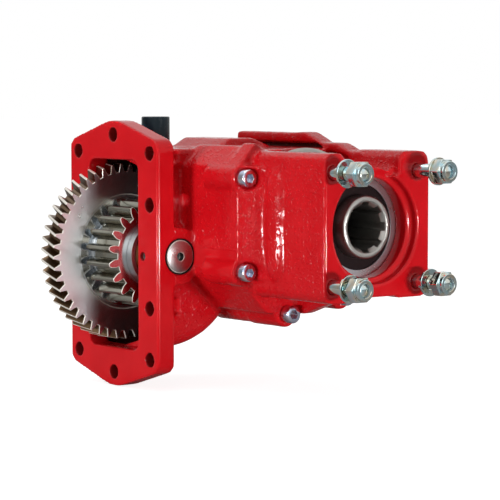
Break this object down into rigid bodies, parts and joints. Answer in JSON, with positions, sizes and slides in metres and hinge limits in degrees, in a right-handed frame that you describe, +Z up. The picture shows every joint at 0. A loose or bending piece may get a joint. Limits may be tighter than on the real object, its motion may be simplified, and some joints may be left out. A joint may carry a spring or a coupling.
{
  "type": "power take off unit",
  "caption": "Side-mounted transmission power take off with a cast gear case, a helical idler wheel standing out of its flange window and a studded hydraulic pump flange.",
  "frame": {"origin": "centre of the bolt pattern on the mounting face of the flange", "axes": "-X out of the mounting face towards the transmission, -Y along the shafts and out of the pump flange, +Z up"},
  "size_m": [0.2178, 0.2777, 0.202],
  "materials": {
    "case_paint": "gloss enamel over cast iron",
    "gasket": "compressed fibre sheet",
    "screw_steel": "steel painted over with the case",
    "zinc_steel": "zinc plated, slightly yellow",
    "nylon": "plain nylon",
    "ground_steel": "turned and ground",
    "black_rubber": "matt, oiled",
    "bearing_steel": "ground bright",
    "spring_steel": "bright spring steel",
    "black_plastic": "soft, shiny",
    "gear_steel": "hobbed and hardened, lightly oiled",
    "cage_brass": "machined bronze",
    "friction": "sintered lining on a steel core"
  },
  "bodies": {
    "housing": {"gear_case": "case_paint", "pump_housing": "case_paint", "housing_gasket": "gasket", "case_screws": "zinc_steel", "pump_studs": "zinc_steel", "stud_washers": "zinc_steel", "lock_nuts": "zinc_steel", "nut_rings": "nylon", "idler_shaft": "ground_steel", "idler_shaft_seals": "black_rubber", "idler_lock_screw": "screw_steel", "idler_inner_rings": "bearing_steel", "idler_spacers": "bearing_steel", "shaft_outer_rings": "bearing_steel", "output_seal": "black_rubber", "seal_circlip": "spring_steel", "top_plug": "case_paint", "port_fitting": "zinc_steel", "port_cap": "black_plastic"},
    "idler": {"idler_gear_cluster": "gear_steel", "idler_outer_rings": "bearing_steel"},
    "idler_cage": {"idler_cages": "cage_brass", "idler_rollers": "bearing_steel"},
    "drum": {"output_drum": "gear_steel", "drum_bush": "cage_brass", "steel_discs": "spring_steel", "pressure_plate": "spring_steel", "drum_circlip": "spring_steel", "spring_retainer": "spring_steel", "return_spring": "spring_steel"},
    "piston": {"clutch_piston": "ground_steel"},
    "shaft": {"output_shaft": "ground_steel", "clutch_hub": "gear_steel", "friction_discs": "friction", "thrust_ring": "bearing_steel", "shaft_inner_rings": "bearing_steel"},
    "front_cage": {"front_cage": "cage_brass", "front_rollers": "bearing_steel"},
    "rear_cage": {"rear_cage": "cage_brass", "rear_rollers": "bearing_steel"}
  },
  "joints": [
    {"name": "idler_turn", "type": "hinge", "parent": "housing", "child": "idler", "pos_m": [0.021, 0, 0], "axis": [0, 1, 0], "continuous": true},
    {"name": "idler_cage_turn", "type": "hinge", "parent": "housing", "child": "idler_cage", "pos_m": [0.021, 0, 0], "axis": [0, 1, 0], "continuous": true},
    {"name": "drum_turn", "type": "hinge", "parent": "housing", "child": "drum", "pos_m": [0.095, 0, 0.02466], "axis": [0, 1, 0], "continuous": true},
    {"name": "piston_slide", "type": "slide", "parent": "drum", "child": "piston", "axis": [0, -1, 0], "range_m": [0, 0.002], "stiffness_N_per_m": 4000},
    {"name": "shaft_turn", "type": "hinge", "parent": "housing", "child": "shaft", "pos_m": [0.095, 0, 0.02466], "axis": [0, 1, 0], "continuous": true},
    {"name": "front_cage_turn", "type": "hinge", "parent": "housing", "child": "front_cage", "pos_m": [0.095, 0, 0.02466], "axis": [0, 1, 0], "continuous": true},
    {"name": "rear_cage_turn", "type": "hinge", "parent": "housing", "child": "rear_cage", "pos_m": [0.095, 0, 0.02466], "axis": [0, 1, 0], "continuous": true}
  ],
  "couplings": [
    {"joint": "drum_turn", "follows": "idler_turn", "ratio": -0.86957},
    {"joint": "idler_cage_turn", "follows": "idler_turn", "ratio": 0.5615},
    {"joint": "front_cage_turn", "follows": "shaft_turn", "ratio": 0.435},
    {"joint": "rear_cage_turn", "follows": "shaft_turn", "ratio": 0.4129}
  ]
}
